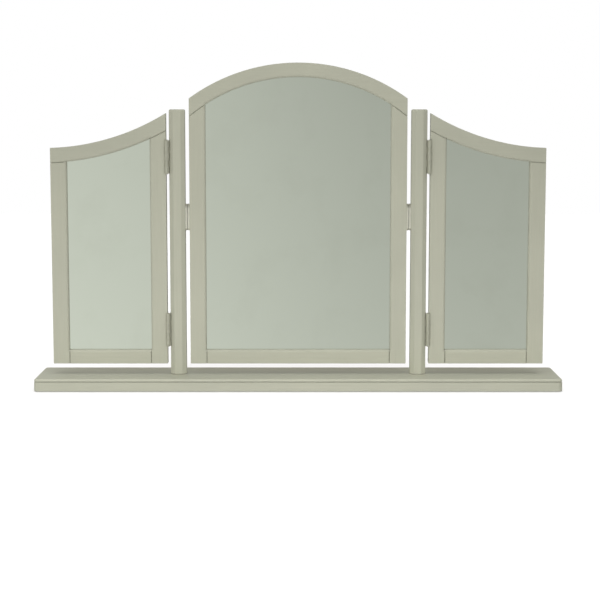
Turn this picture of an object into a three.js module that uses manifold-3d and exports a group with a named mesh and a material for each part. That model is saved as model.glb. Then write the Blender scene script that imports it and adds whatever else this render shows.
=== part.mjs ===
// Triple dressing table mirror: a moulded base board carries two posts, an arched mirror tilts between
// the posts on swivel plates, and a wing mirror is hinged on the outside of each post.
// Millimetres, +Z up, front towards -Y. The origin is the centre of the footprint on the surface that
// the mirror stands on. The right half is modelled, and the left half is its mirror image.

import * as THREE from "three";
import { mergeVertices } from "three/addons/utils/BufferGeometryUtils.js";
import Module from "manifold-3d";

const wasm = await Module();
wasm.setup();

// Clearances

const jointGap = 0.3; // between wood members at a glued joint, and round a screw
const runningGap = 0.3; // between pieces that turn past each other
const glassGap = 1; // round the edge of a glass or a back panel

// Base board and its felt pads

const padRadius = 10;
const padThickness = 1.5;
const padInset = 24; // from the board's edges to a pad's centre
const baseLength = 1000;
const baseDepth = 160;
const baseThickness = 23.5;
const baseCornerRadius = 8;
const baseChamfer = 0.8; // along the lower edge
const noseRadius = 4; // rounded upper edge of the board
const noseDrop = 5; // from the top down to the groove under the nose
const grooveHeight = 1.5;
const grooveDepth = 1.2;

// Posts

const postWidth = 30;
const postDepth = 30;
const postHeight = 505.6;
const postChamferWidth = 8; // seen from the front
const postChamferDepth = 6; // seen from the side
const postTopRound = 3;

// Frame members, shared by the three mirrors

const frameThickness = 20;
const frameLift = 20; // from the board's top to the frames' lower edges
const stileWidth = 31;
const bottomRailWidth = 27;
const glassThickness = 4;
const panelThickness = 6;
const panelInset = 2; // the back panel lies this far inside the frame's back
const glassRebate = 8; // width of the ledge that the glass lies on
const panelRebate = 15; // width of the recess that the back panel lies in
const tenonLength = 12;
const tenonShoulder = 4; // wood on each side of a tenon's width
const tenonShare = 0.6; // tenon thickness as a share of the lip in front of the glass

// Centre mirror

const centreWidth = 414;
const centreHeight = 573;
const archRise = 67; // from the shoulders to the crown
const archRailWidth = 27;

// Wing mirrors

const wingWidth = 220;
const wingOuterHeight = 413;
const sweepRadius = 450; // hollow curve of the wing's top
const sweepRun = 14; // the curve would lie level this far beyond the wing's outer edge
const wingRailWidth = 28;

// Swivels that carry the centre mirror

const pivotHeight = 281.5; // above the centre frame's lower edge
const swivelGap = 8; // between the centre frame and a post
const plateLength = 51;
const plateWidth = 18;
const plateThickness = 3.6;
const plateScrewReach = 17.5; // from the pivot to each screw
const pivotRadius = 3;
const pivotInFrame = 14;
const pivotInPost = 10;
const pivotChamfer = 0.6;
const washerRadius = 7;

// Butt hinges that carry the wings

const hingeGap = 6; // between a post and its wing
const hingeLength = 63;
const hingeHeights = [86, 416]; // middles of the two hinges above the board's top
const leafThickness = 1.5;
const leafDepth = 16;
const knuckleRadius = 3.5;
const knuckleStandoff = 0.9; // from the post's side to the knuckle
const knuckleProud = 2.5; // from the wing's front plane to the hinge axis
const knuckleCount = 5;
const knuckleSlack = 0.1; // from the knuckle to the floor of the wing's recess
const hingePinRadius = 1.5;
const hingePinGap = 0.2;
const pinTipRadius = 2.3;
const pinTipHeight = 1;

// Screws: radius of shank and head, length and length of the point

const postScrew = { shank: 2.5, head: 5, length: 50, point: 6 };
const plateScrew = { shank: 1.6, head: 3.1, length: 16, point: 4 };
const leafScrew = { shank: 1.4, head: 2.7, length: 14, point: 4 };
const postScrewReach = 8; // from the post's middle to each screw
const leafScrewPitch = 23; // along the leaf
const leafScrewStagger = 2.5; // the middle screw sits this much further back

// Fineness of round shapes

const curveStep = 13; // along the frames' curved edges
const roundSides = 16;
const screwSides = 10;
const cornerSteps = 4;
const breakthrough = 1; // how far a cutter runs past the face that it opens

// Places worked out from the dimensions above

const baseTop = padThickness + baseThickness;
const frameBottom = baseTop + frameLift;
const frameFront = -frameThickness / 2;
const frameBack = frameThickness / 2;
const panelBack = frameBack - panelInset;
const glassBack = panelBack - panelThickness;
const glassFront = glassBack - glassThickness;
const centreHalf = centreWidth / 2;
const postInner = centreHalf + swivelGap;
const postOuter = postInner + postWidth;
const postMiddle = postInner + postWidth / 2;
const wingInner = postOuter + hingeGap;
const wingOuter = wingInner + wingWidth;
const pivotZ = frameBottom + pivotHeight;
const hingeX = postOuter + knuckleStandoff + knuckleRadius;
const hingeY = frameFront - knuckleProud;
const recessFloor = hingeX + knuckleRadius + knuckleSlack;
const leafStart = hingeY + knuckleRadius + runningGap;

// Materials

const paint = () => new THREE.MeshStandardMaterial({ color: 0xaeae9c, roughness: 0.45, metalness: 0 });
const silvering = () => new THREE.MeshStandardMaterial({ color: 0xbcc6b7, roughness: 0.03, metalness: 1 });
const hardboard = () => new THREE.MeshStandardMaterial({ color: 0x8a6f52, roughness: 0.75, metalness: 0 });
const nickel = () => new THREE.MeshStandardMaterial({ color: 0xb3b0a4, roughness: 0.35, metalness: 1 });
const steel = () => new THREE.MeshStandardMaterial({ color: 0x9a9a98, roughness: 0.4, metalness: 1 });
const nylon = () => new THREE.MeshStandardMaterial({ color: 0xd8d6cc, roughness: 0.5, metalness: 0 });
const felt = () => new THREE.MeshStandardMaterial({ color: 0x3d3b38, roughness: 0.95, metalness: 0 });

// Solids

function solid(geometry) {
  const bare = geometry.clone();
  bare.deleteAttribute("normal");
  bare.deleteAttribute("uv");
  const merged = mergeVertices(bare);
  return new wasm.Manifold(
    new wasm.Mesh({
      numProp: 3,
      vertProperties: merged.attributes.position.array,
      triVerts: new Uint32Array(merged.index.array),
    }),
  );
}

function surface(manifold) {
  const mesh = manifold.getMesh();
  const indexed = new THREE.BufferGeometry();
  indexed.setAttribute("position", new THREE.BufferAttribute(mesh.vertProperties, 3));
  indexed.setIndex(new THREE.BufferAttribute(mesh.triVerts, 1));
  const flat = indexed.toNonIndexed();
  flat.computeVertexNormals();
  return flat;
}

// A body joined from the first list of geometries, less the second list.
function carve(bodies, cutters = []) {
  let result = solid(bodies[0]);
  for (const body of bodies.slice(1)) result = result.add(solid(body));
  for (const cutter of cutters) result = result.subtract(solid(cutter));
  return surface(result);
}

function named(name, geometry, material, placing = new THREE.Matrix4()) {
  const mesh = new THREE.Mesh(geometry, material);
  mesh.name = name;
  mesh.applyMatrix4(placing);
  return mesh;
}

function box(x, y, z) {
  const size = [x, y, z].map(([low, high]) => high - low);
  const middle = [x, y, z].map(([low, high]) => (low + high) / 2);
  return new THREE.BoxGeometry(...size).translate(...middle);
}

// An outline drawn in X and Z, filled between two depths.
function slab(shape, front, back) {
  const geometry = new THREE.ExtrudeGeometry(shape, { depth: back - front, bevelEnabled: false });
  return geometry.rotateX(Math.PI / 2).translate(0, back, 0);
}

// A profile of radius and height pairs, from the lower end of the axis to the upper one, turned about +Z.
function turned(profile, sides = roundSides) {
  const points = profile.map(([radius, height]) => new THREE.Vector2(radius, height));
  return new THREE.LatheGeometry(points, sides).rotateX(Math.PI / 2);
}

const rod = (radius, low, high) => turned([[0, low], [radius, low], [radius, high], [0, high]]);

// Turns +Z to face outward and moves the origin to a place.
function facing(x, y, z, outward) {
  const turn = new THREE.Quaternion().setFromUnitVectors(new THREE.Vector3(0, 0, 1), outward);
  return new THREE.Matrix4().compose(new THREE.Vector3(x, y, z), turn, new THREE.Vector3(1, 1, 1));
}

const outwards = new THREE.Vector3(1, 0, 0); // away from the middle, on the right half
const inwards = new THREE.Vector3(-1, 0, 0);
const up = new THREE.Vector3(0, 0, 1);
const down = new THREE.Vector3(0, 0, -1);

// Rounded rectangle about the Z axis, counter-clockwise, as a list of points.
function roundedRectangle(halfLength, halfDepth, radius) {
  const points = [];
  const corners = [[1, 1], [-1, 1], [-1, -1], [1, -1]];
  corners.forEach(([sx, sy], corner) => {
    for (let step = 0; step <= cornerSteps; step++) {
      const angle = (corner + step / cornerSteps) * (Math.PI / 2);
      const x = sx * (halfLength - radius) + radius * Math.cos(angle);
      const y = sy * (halfDepth - radius) + radius * Math.sin(angle);
      points.push([x, y]);
    }
  });
  return points;
}

// Rectangle with chamfered corners about the Z axis, counter-clockwise, as a list of points.
function chamferedRectangle(halfLength, halfDepth, chamferLength, chamferDepth) {
  const x = halfLength - chamferLength;
  const y = halfDepth - chamferDepth;
  return [
    [halfLength, y], [x, halfDepth], [-x, halfDepth], [-halfLength, y],
    [-halfLength, -y], [-x, -halfDepth], [x, -halfDepth], [halfLength, -y],
  ];
}

// A moulded block: at each level the outline for the level's inset, a convex one that keeps its count.
function moulded(outlineFor, levels) {
  const positions = [];
  for (const [height, inset] of levels) {
    for (const [x, y] of outlineFor(inset)) positions.push(x, y, height);
  }
  const count = outlineFor(0).length;
  const faces = [];
  for (let level = 0; level + 1 < levels.length; level++) {
    for (let i = 0; i < count; i++) {
      const a = level * count + i;
      const b = level * count + ((i + 1) % count);
      faces.push(a, b, b + count, a, b + count, a + count);
    }
  }
  const top = (levels.length - 1) * count;
  for (let i = 1; i + 1 < count; i++) faces.push(0, i + 1, i, top, top + i, top + i + 1);
  const geometry = new THREE.BufferGeometry();
  geometry.setAttribute("position", new THREE.Float32BufferAttribute(positions, 3));
  geometry.setIndex(faces);
  return geometry;
}

// A quarter round that ends level: heights and insets from its foot to its top.
function quarterRound(top, radius) {
  const levels = [];
  for (let step = 0; step <= cornerSteps; step++) {
    const angle = (step / cornerSteps) * (Math.PI / 2);
    levels.push([top - radius * (1 - Math.sin(angle)), radius * (1 - Math.cos(angle))]);
  }
  return levels;
}

// Countersunk screws: the head's flat top is at the origin and the point lies towards -Z

function screwProfile(screw, gap, rise) {
  const neck = screw.head - screw.shank;
  return [
    [0, -screw.length - gap],
    [screw.shank + gap, -screw.length + screw.point],
    [screw.shank + gap, -neck],
    [screw.head + gap, 0],
    ...(rise > 0 ? [[screw.head + gap, rise]] : []),
    [0, rise],
  ];
}

const screwBody = (screw) => turned(screwProfile(screw, 0, 0), screwSides);
const screwHole = (screw, placing) =>
  turned(screwProfile(screw, jointGap, breakthrough), screwSides).applyMatrix4(placing);

// Top edges of the frames: the height at x of the outer edge moved outwards by an offset

const archRadius = (centreHalf ** 2 + archRise ** 2) / (2 * archRise);
const archCentreZ = frameBottom + centreHeight - archRadius;
const sweepX = wingOuter + sweepRun;
const sweepZ = frameBottom + wingOuterHeight + Math.sqrt(sweepRadius ** 2 - sweepRun ** 2);

const archEdge = (x, offset) => archCentreZ + Math.sqrt((archRadius + offset) ** 2 - x ** 2);
const sweepEdge = (x, offset) => sweepZ - Math.sqrt((sweepRadius - offset) ** 2 - (x - sweepX) ** 2);

function alongEdge(edge, from, to, offset) {
  const steps = Math.max(2, Math.ceil(Math.abs(to - from) / curveStep));
  const points = [];
  for (let step = 0; step <= steps; step++) {
    const x = from + ((to - from) * step) / steps;
    points.push(new THREE.Vector2(x, edge(x, offset)));
  }
  return points;
}

// The outline from x0 to x1 that starts at a level bottom and ends at the edge curve.
function under(edge, x0, x1, bottom, offset) {
  const foot = [new THREE.Vector2(x0, bottom), new THREE.Vector2(x1, bottom)];
  return new THREE.Shape([...foot, ...alongEdge(edge, x1, x0, offset)]);
}

// The outline from x0 to x1 between two offsets of the edge curve.
function between(edge, x0, x1, lower, upper) {
  return new THREE.Shape([...alongEdge(edge, x0, x1, lower), ...alongEdge(edge, x1, x0, upper)]);
}

// A mirror frame: two stiles stop under a top rail that runs the full width, a bottom rail fits between
// the stiles, and stub tenons in front of the glass join the four

function frameOf({ edge, x0, x1, topRail }) {
  const sightLeft = x0 + stileWidth;
  const sightRight = x1 - stileWidth;
  const sightBottom = frameBottom + bottomRailWidth;
  const lip = glassFront - frameFront;
  const tenonMiddle = frameFront + lip / 2;
  const tenonHalf = (lip * tenonShare) / 2;

  const inset = (width, front, back) => {
    const outline = under(edge, sightLeft - width, sightRight + width, sightBottom - width, width - topRail);
    return slab(outline, front, back);
  };
  const rebates = [
    inset(glassRebate, glassFront, frameBack + breakthrough),
    inset(panelRebate, glassBack, frameBack + breakthrough),
  ];
  const glass = inset(glassRebate - glassGap, glassFront, glassBack);
  const panel = inset(panelRebate - glassGap, glassBack, panelBack);

  // A tenon on top of a stile, whose two sides are given; the gap widens it into its mortise.
  const stileTenon = (from, to, gap) => {
    const foot = sightBottom + tenonLength;
    const head = tenonLength - topRail + gap;
    const outline = under(edge, from + tenonShoulder - gap, to - tenonShoulder + gap, foot, head);
    return slab(outline, tenonMiddle - tenonHalf - gap, tenonMiddle + tenonHalf + gap);
  };
  const railTenons = (gap) => {
    const x = [sightLeft - tenonLength - gap, sightRight + tenonLength + gap];
    const y = [tenonMiddle - tenonHalf - gap, tenonMiddle + tenonHalf + gap];
    const z = [frameBottom + tenonShoulder - gap, sightBottom - tenonShoulder + gap];
    return box(x, y, z);
  };
  const stile = (from, to, cutters = []) => {
    const upright = slab(under(edge, from, to, frameBottom, -topRail - jointGap), frameFront, frameBack);
    return carve([upright, stileTenon(from, to, 0)], [...rebates, railTenons(jointGap), ...cutters]);
  };
  const leftStile = (cutters) => stile(x0, sightLeft, cutters);
  const rightStile = (cutters) => stile(sightRight, x1, cutters);

  const topOutline = slab(between(edge, x0, x1, -topRail, 0), frameFront, frameBack);
  const mortises = [stileTenon(x0, sightLeft, jointGap), stileTenon(sightRight, x1, jointGap)];
  const railBody = box(
    [sightLeft + jointGap, sightRight - jointGap],
    [frameFront, frameBack],
    [frameBottom, sightBottom],
  );
  return {
    top: carve([topOutline], [...rebates, ...mortises]),
    bottom: carve([railBody, railTenons(0)], rebates),
    leftStile,
    rightStile,
    glass: carve([glass]),
    panel: carve([panel]),
  };
}

// Places along the right half: rows of screws, and the middles of the hinges

const postScrewRows = [["front", -postScrewReach], ["rear", postScrewReach]];
const plateScrewRows = [["upper", pivotZ + plateScrewReach], ["lower", pivotZ - plateScrewReach]];
const hinges = [["lower", baseTop + hingeHeights[0]], ["upper", baseTop + hingeHeights[1]]];
const framePlateFace = centreHalf + plateThickness;
const postPlateFace = postInner - plateThickness;

// Base board and the felt pads under it

function baseBoard() {
  const underNose = baseThickness - noseDrop;
  const levels = [
    [0, baseChamfer],
    [baseChamfer, 0],
    [underNose - grooveHeight, 0],
    [underNose - grooveHeight, grooveDepth],
    [underNose, grooveDepth],
    [underNose, (noseDrop - noseRadius) / 2],
    ...quarterRound(baseThickness, noseRadius),
  ];
  const outline = (inset) =>
    roundedRectangle(baseLength / 2 - inset, baseDepth / 2 - inset, baseCornerRadius - inset);
  const board = moulded(outline, levels).translate(0, 0, padThickness);
  const holes = [-postMiddle, postMiddle].flatMap((x) =>
    postScrewRows.map(([, y]) => screwHole(postScrew, facing(x, y, padThickness, down))),
  );
  return carve([board], holes);
}

function padPieces() {
  const endX = baseLength / 2 - padInset;
  const endY = baseDepth / 2 - padInset;
  const disc = rod(padRadius, 0, padThickness);
  const meshes = [];
  for (const [row, y] of [["front", -endY], ["rear", endY]]) {
    for (const [place, x] of [["left", -endX], ["middle", 0], ["right", endX]]) {
      meshes.push(named(`pad_${row}_${place}`, disc, felt(), facing(x, y, 0, up)));
    }
  }
  return meshes;
}

// Swivel: an obround plate on the post and another on the frame, a washer between them and a pivot pin

function swivelPlate(x, screwX, outward) {
  const half = plateWidth / 2;
  const straight = plateLength / 2 - half;
  const outline = new THREE.Shape();
  outline.absarc(0, straight, half, 0, Math.PI);
  outline.absarc(0, -straight, half, Math.PI, 2 * Math.PI);
  const options = { depth: plateThickness, bevelEnabled: false, curveSegments: roundSides / 2 };
  const plate = new THREE.ExtrudeGeometry(outline, options);
  plate.rotateX(Math.PI / 2).rotateZ(Math.PI / 2).translate(x, 0, pivotZ);
  const bore = rod(pivotRadius + runningGap, -plateLength, plateLength);
  const holes = plateScrewRows.map(([, z]) => screwHole(plateScrew, facing(screwX, 0, z, outward)));
  return carve([plate], [bore.applyMatrix4(facing(x, 0, pivotZ, outwards)), ...holes]);
}

// What the swivel takes out of the centre frame's stile.
function frameSwivelCuts() {
  const bore = rod(pivotRadius + jointGap, -pivotInFrame - jointGap, breakthrough);
  const holes = plateScrewRows.map(([, z]) => screwHole(plateScrew, facing(framePlateFace, 0, z, outwards)));
  return [bore.applyMatrix4(facing(centreHalf, 0, pivotZ, outwards)), ...holes];
}

// What the swivel takes out of the post.
function postSwivelCuts() {
  const bore = rod(pivotRadius + runningGap, -breakthrough, pivotInPost + runningGap);
  const holes = plateScrewRows.map(([, z]) => screwHole(plateScrew, facing(postPlateFace, 0, z, inwards)));
  return [bore.applyMatrix4(facing(postInner, 0, pivotZ, outwards)), ...holes];
}

function pivotPin() {
  const low = centreHalf - pivotInFrame;
  const high = postInner + pivotInPost;
  const pin = turned([
    [0, low],
    [pivotRadius - pivotChamfer, low],
    [pivotRadius, low + pivotChamfer],
    [pivotRadius, high - pivotChamfer],
    [pivotRadius - pivotChamfer, high],
    [0, high],
  ]);
  return pin.applyMatrix4(facing(0, 0, pivotZ, outwards));
}

function washer() {
  const low = framePlateFace;
  const high = postPlateFace - runningGap;
  const hole = pivotRadius + runningGap;
  const ring = [[hole, low], [washerRadius, low], [washerRadius, high], [hole, high], [hole, low]];
  return turned(ring).applyMatrix4(facing(0, 0, pivotZ, outwards));
}

function swivelPieces(side) {
  const postPlate = swivelPlate(postPlateFace, postPlateFace, inwards);
  const framePlate = swivelPlate(centreHalf, framePlateFace, outwards);
  const meshes = [
    named(`${side}_swivel_post_plate`, postPlate, nickel()),
    named(`${side}_swivel_frame_plate`, framePlate, nickel()),
    named(`${side}_pivot_pin`, pivotPin(), steel()),
    named(`${side}_friction_washer`, washer(), nylon()),
  ];
  for (const [row, z] of plateScrewRows) {
    const intoPost = facing(postPlateFace, 0, z, inwards);
    const intoFrame = facing(framePlateFace, 0, z, outwards);
    meshes.push(named(`${side}_swivel_post_screw_${row}`, screwBody(plateScrew), nickel(), intoPost));
    meshes.push(named(`${side}_swivel_frame_screw_${row}`, screwBody(plateScrew), nickel(), intoFrame));
  }
  return meshes;
}

// Hinges: the post's leaf lies on the post's side and the wing's leaf in a recess in the wing's edge;
// knuckles alternate along the pin, the post's leaf having the first and the last

const knuckleLength = (hingeLength - (knuckleCount - 1) * runningGap) / knuckleCount;

function knuckleSpans(first) {
  const spans = [];
  for (let i = first; i < knuckleCount; i += 2) {
    const low = i * (knuckleLength + runningGap) - hingeLength / 2;
    spans.push([low, low + knuckleLength]);
  }
  return spans;
}

// Holes for a leaf's screws, whose heads lie in the face at x, about the hinge's middle at z.
function leafScrewHoles(x, z, outward) {
  const middle = leafStart + leafDepth / 2;
  return [-1, 0, 1].map((row) => {
    const y = middle + (row === 0 ? leafScrewStagger : -leafScrewStagger) / 2;
    return screwHole(leafScrew, facing(x, y, z + row * leafScrewPitch, outward));
  });
}

// A leaf about its hinge's middle: its plate, and a neck and a knuckle for every other span.
function leaf(x, firstKnuckle, screwX, outward) {
  const thickness = [x, x + leafThickness];
  const half = hingeLength / 2;
  const bodies = [box(thickness, [leafStart, leafStart + leafDepth], [-half, half])];
  for (const span of knuckleSpans(firstKnuckle)) {
    bodies.push(box(thickness, [hingeY, leafStart + leafThickness], span));
    bodies.push(rod(knuckleRadius, ...span).translate(hingeX, hingeY, 0));
  }
  const bore = rod(hingePinRadius + hingePinGap, -hingeLength, hingeLength).translate(hingeX, hingeY, 0);
  return carve(bodies, [bore, ...leafScrewHoles(screwX, 0, outward)]);
}

const postLeafFace = postOuter + leafThickness;
const wingLeafFace = recessFloor - leafThickness;

function hingePin() {
  const shoulder = hingeLength / 2 + runningGap;
  const tip = shoulder + pinTipHeight;
  const roundOff = pinTipHeight / 2;
  return turned([
    [0, -tip],
    [pinTipRadius - roundOff, -tip],
    [pinTipRadius, roundOff - tip],
    [pinTipRadius, -shoulder],
    [hingePinRadius, -shoulder],
    [hingePinRadius, shoulder],
    [pinTipRadius, shoulder],
    [pinTipRadius, tip - roundOff],
    [pinTipRadius - roundOff, tip],
    [0, tip],
  ]).translate(hingeX, hingeY, 0);
}

// What one hinge takes out of the wing's inner stile: its recess and its leaf's screw holes.
function wingHingeCuts(z) {
  const reach = hingeLength / 2 + runningGap;
  const depth = [frameFront - breakthrough, leafStart + leafDepth + jointGap];
  const recess = box([wingInner - breakthrough, recessFloor], depth, [z - reach, z + reach]);
  return [recess, ...leafScrewHoles(wingLeafFace, z, inwards)];
}

function hingePieces(side) {
  return hinges.flatMap(([place, z]) => {
    const raised = facing(0, 0, z, up);
    const postLeaf = leaf(postOuter, 0, postLeafFace, outwards);
    const wingLeaf = leaf(wingLeafFace, 1, wingLeafFace, inwards);
    return [
      named(`${side}_${place}_hinge_post_leaf`, postLeaf, nickel(), raised),
      named(`${side}_${place}_hinge_wing_leaf`, wingLeaf, nickel(), raised),
      named(`${side}_${place}_hinge_pin`, hingePin(), nickel(), raised),
    ];
  });
}

// Posts, and the screws that hold them from under the board

function post() {
  const levels = [[0, 0], ...quarterRound(postHeight, postTopRound)];
  const outline = (inset) =>
    chamferedRectangle(postWidth / 2 - inset, postDepth / 2 - inset, postChamferWidth, postChamferDepth);
  const body = moulded(outline, levels).translate(postMiddle, 0, baseTop);
  const fromBelow = postScrewRows.map(([, y]) =>
    screwHole(postScrew, facing(postMiddle, y, padThickness, down)),
  );
  const hingeHoles = hinges.flatMap(([, z]) => leafScrewHoles(postLeafFace, z, outwards));
  return carve([body], [...postSwivelCuts(), ...fromBelow, ...hingeHoles]);
}

function postPieces(side) {
  const screws = postScrewRows.map(([row, y]) => {
    const placing = facing(postMiddle, y, padThickness, down);
    return named(`${side}_post_screw_${row}`, screwBody(postScrew), steel(), placing);
  });
  return [named(`${side}_post`, post(), paint()), ...screws];
}

// Wing mirror of one side

function wingPieces(side) {
  const wing = frameOf({ edge: sweepEdge, x0: wingInner, x1: wingOuter, topRail: wingRailWidth });
  const hingeCuts = hinges.flatMap(([, z]) => wingHingeCuts(z));
  return [
    named(`${side}_wing_top_rail`, wing.top, paint()),
    named(`${side}_wing_bottom_rail`, wing.bottom, paint()),
    named(`${side}_wing_inner_stile`, wing.leftStile(hingeCuts), paint()),
    named(`${side}_wing_outer_stile`, wing.rightStile(), paint()),
    named(`${side}_wing_glass`, wing.glass, silvering()),
    named(`${side}_wing_back_panel`, wing.panel, hardboard()),
  ];
}

// Assembly

const centre = frameOf({ edge: archEdge, x0: -centreHalf, x1: centreHalf, topRail: archRailWidth });

function sidePieces(side) {
  const group = new THREE.Group();
  const stile = named(`centre_${side}_stile`, centre.rightStile(frameSwivelCuts()), paint());
  group.add(stile, ...postPieces(side), ...swivelPieces(side), ...hingePieces(side), ...wingPieces(side));
  return group;
}

const mirrorSet = new THREE.Group();
mirrorSet.add(
  named("base_board", baseBoard(), paint()),
  ...padPieces(),
  named("centre_arch_rail", centre.top, paint()),
  named("centre_bottom_rail", centre.bottom, paint()),
  named("centre_mirror_glass", centre.glass, silvering()),
  named("centre_back_panel", centre.panel, hardboard()),
);
const rightSide = sidePieces("right");
const leftSide = sidePieces("left");
leftSide.scale.x = -1;
mirrorSet.add(rightSide, leftSide);

export default mirrorSet;
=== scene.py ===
# Triple dressing table mirror: the look of every piece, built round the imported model.
# Metres, +Z up, front towards -Y, origin at the centre of the footprint. The right half is modelled,
# and the left half is its mirror image.

import math

import bmesh
import bpy
from mathutils import Matrix, Vector


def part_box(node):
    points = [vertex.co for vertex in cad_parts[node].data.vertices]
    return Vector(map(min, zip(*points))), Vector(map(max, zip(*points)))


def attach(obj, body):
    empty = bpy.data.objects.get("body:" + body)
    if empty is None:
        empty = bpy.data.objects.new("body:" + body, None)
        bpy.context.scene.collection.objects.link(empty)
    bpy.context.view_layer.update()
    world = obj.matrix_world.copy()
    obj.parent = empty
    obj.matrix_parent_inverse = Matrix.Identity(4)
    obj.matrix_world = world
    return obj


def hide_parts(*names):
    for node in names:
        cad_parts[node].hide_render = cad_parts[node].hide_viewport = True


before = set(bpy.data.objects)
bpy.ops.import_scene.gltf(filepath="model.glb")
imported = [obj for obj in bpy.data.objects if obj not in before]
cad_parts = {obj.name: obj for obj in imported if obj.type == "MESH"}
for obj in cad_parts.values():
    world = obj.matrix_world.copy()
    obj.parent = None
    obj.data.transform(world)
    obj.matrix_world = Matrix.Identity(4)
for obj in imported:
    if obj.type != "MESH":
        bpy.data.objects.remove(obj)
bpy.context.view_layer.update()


def low(node):
    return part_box(node)[0]


def high(node):
    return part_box(node)[1]


# Frame members: widths and curves that the boxes of the nodes don't give

STILE_WIDTH = 0.031
BOTTOM_RAIL_WIDTH = 0.027
ARCH_RAIL_WIDTH = 0.027
WING_RAIL_WIDTH = 0.028
ARCH_RISE = 0.067
WING_OUTER_HEIGHT = 0.413
SWEEP_RADIUS = 0.45
SWEEP_RUN = 0.014
GLASS_REBATE = 0.008
PANEL_REBATE = 0.015
TENON_LENGTH = 0.012
TENON_SHOULDER = 0.004
TENON_SHARE = 0.6

# Clearances and softened edges. Cutters run past the wood by SPARE, and points nearer than SLIVER are one

JOINT_GAP = 0.0003
RUNNING_GAP = 0.0003
SPARE = 0.001
TINY = 0.00001
SLIVER = 0.000002
SIGHT_ROUND = 0.005
EDGE_ROUND = 0.0009
JOINT_CHAMFER = 0.0013
PAD_ROUND = 0.0004
PLATE_ROUND = 0.00015

# Base board, posts and pads

BASE_CORNER = 0.008
BASE_CHAMFER = 0.0008
NOSE_RADIUS = 0.004
NOSE_DROP = 0.005
GROOVE_HEIGHT = 0.0015
GROOVE_DEPTH = 0.0012
GROOVE_ARRIS = 0.0003
POST_CHAMFER_WIDTH = 0.008
POST_CHAMFER_DEPTH = 0.006
POST_ARRIS = 0.0015
POST_TOP_ROUND = 0.003
POST_SCREW_REACH = 0.008

# Swivels and hinges

PLATE_SCREW_REACH = 0.0175
PIVOT_CHAMFER = 0.0006
LEAF_THICKNESS = 0.0015
LEAF_DEPTH = 0.016
LEAF_SCREW_PITCH = 0.023
LEAF_SCREW_STAGGER = 0.0025
KNUCKLES = 5
HINGE_PIN_RADIUS = 0.0015
HINGE_PIN_GAP = 0.0002
PIN_TIP_HEIGHT = 0.001

# Screws: radius of shank and head, length and length of the point

POST_SCREW = {"shank": 0.0025, "head": 0.005, "length": 0.05, "point": 0.006}
PLATE_SCREW = {"shank": 0.0016, "head": 0.0031, "length": 0.016, "point": 0.004}
LEAF_SCREW = {"shank": 0.0014, "head": 0.0027, "length": 0.014, "point": 0.004}
PANEL_SCREW = {"shank": 0.0013, "head": 0.0028, "length": 0.011, "point": 0.003, "dome": 0.0013}
PANEL_SCREW_INSET = 0.0115
PANEL_SCREW_PITCH = 0.11

# Thread and cross: shares of the shank's radius, then of the head's. The foot of the cross is a share of
# its mouth, and the dome is given in shares of the head's radius and the dome's height

THREAD_PITCH = 0.8
THREAD_DEPTH = 0.22
POINT_RADIUS = 0.06
CROSS_REACH = 0.55
CROSS_WIDTH = 0.15
CROSS_DEPTH = 0.38
CROSS_FOOT = (0.6, 0.8)
DOME_PROFILE = ((1, 0), (1, 0.35), (0.86, 0.8), (0.5, 1))
SCREW_ARRIS = 0.0002

# Angles between two faces: bevelled above the first, shaded as an edge above the second, and one face
# below the third

BEVEL_ANGLE = math.radians(25)
SHADE_ANGLE = math.radians(32)
FLAT_ANGLE = math.radians(0.05)

# Fineness of round shapes

CURVE_STEP = 0.004
CORNER_STEPS = 10
ROUND_SEGMENTS = 3
ROUND_SIDES = 48
SCREW_SIDES = 20
THREAD_STEPS = 5

# Places worked out from the nodes

front = low("centre_arch_rail").y
back = high("centre_arch_rail").y
glass_front = low("centre_mirror_glass").y
panel_front = low("centre_back_panel").y
panel_back = high("centre_back_panel").y
frame_bottom = low("centre_bottom_rail").z
sight_bottom = frame_bottom + BOTTOM_RAIL_WIDTH
centre_half = high("centre_arch_rail").x
crown = high("centre_arch_rail").z
wing_inner = low("right_wing_inner_stile").x
wing_outer = high("right_wing_outer_stile").x

post_inner, post_outer = low("right_post").x, high("right_post").x
post_middle = (post_inner + post_outer) / 2
frame_plate_face = high("right_swivel_frame_plate").x
post_plate_face = low("right_swivel_post_plate").x
pin_low, pin_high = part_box("right_pivot_pin")
pivot_radius = (pin_high.y - pin_low.y) / 2
pivot_z = (pin_low.z + pin_high.z) / 2

hinge_pin_low, hinge_pin_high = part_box("right_upper_hinge_pin")
hinge_x = (hinge_pin_low.x + hinge_pin_high.x) / 2
hinge_y = (hinge_pin_low.y + hinge_pin_high.y) / 2
pin_tip_radius = (hinge_pin_high.y - hinge_pin_low.y) / 2
knuckle_radius = hinge_y - low("right_upper_hinge_post_leaf").y
leaf_end = high("right_upper_hinge_post_leaf").y
leaf_start = leaf_end - LEAF_DEPTH
post_leaf_face = post_outer + LEAF_THICKNESS
recess_floor = high("right_upper_hinge_wing_leaf").x
wing_leaf_face = recess_floor - LEAF_THICKNESS
hinge_half = (high("right_upper_hinge_post_leaf").z - low("right_upper_hinge_post_leaf").z) / 2

arch_radius = (centre_half**2 + ARCH_RISE**2) / (2 * ARCH_RISE)
arch_centre = crown - arch_radius
sweep_x = wing_outer + SWEEP_RUN
sweep_z = frame_bottom + WING_OUTER_HEIGHT + math.sqrt(SWEEP_RADIUS**2 - SWEEP_RUN**2)


def middle_z(node):
    return (low(node).z + high(node).z) / 2


hinge_middles = {place: middle_z(f"right_{place}_hinge_pin") for place in ("upper", "lower")}
plate_screw_places = {"upper": pivot_z + PLATE_SCREW_REACH, "lower": pivot_z - PLATE_SCREW_REACH}
post_screw_places = {"front": -POST_SCREW_REACH, "rear": POST_SCREW_REACH}


def arch_edge(x, offset):
    return arch_centre + math.sqrt((arch_radius + offset) ** 2 - x**2)


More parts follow.
